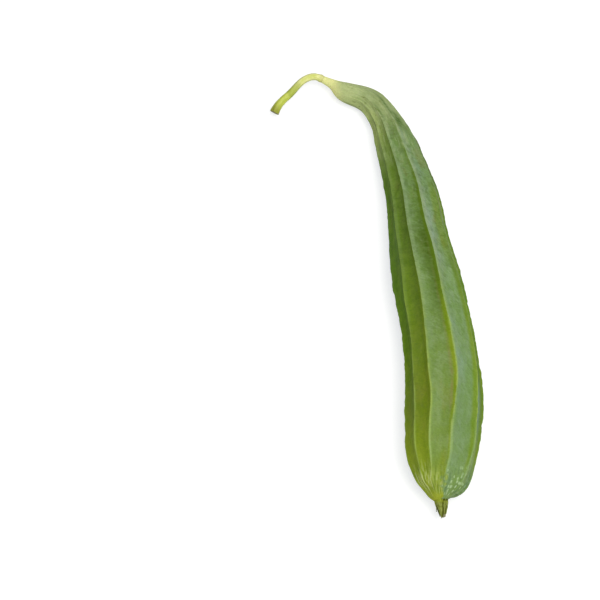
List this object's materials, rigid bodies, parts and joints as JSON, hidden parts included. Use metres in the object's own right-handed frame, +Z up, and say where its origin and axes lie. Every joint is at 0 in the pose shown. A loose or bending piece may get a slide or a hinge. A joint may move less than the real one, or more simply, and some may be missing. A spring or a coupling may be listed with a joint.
{
  "type": "ridge gourd",
  "caption": "Long green ridge gourd lying on its side, curved at the neck, with sharp lengthwise ridges, a cut stalk and a dried flower at the blossom end.",
  "frame": {"origin": "on the floor, under the middle of the whole object's box", "axes": "+Z up from the floor it lies on; +Y along the gourd from the blossom end to the stem end; +X to the outer side of its bend"},
  "size_m": [0.1472, 0.368, 0.0509],
  "materials": {
    "skin": "satin",
    "stalk": "satin",
    "dry_petals": "matte"
  },
  "bodies": {
    "root": {"gourd_body": "skin", "stem": "stalk", "dried_flower": "dry_petals"}
  },
  "joints": []
}
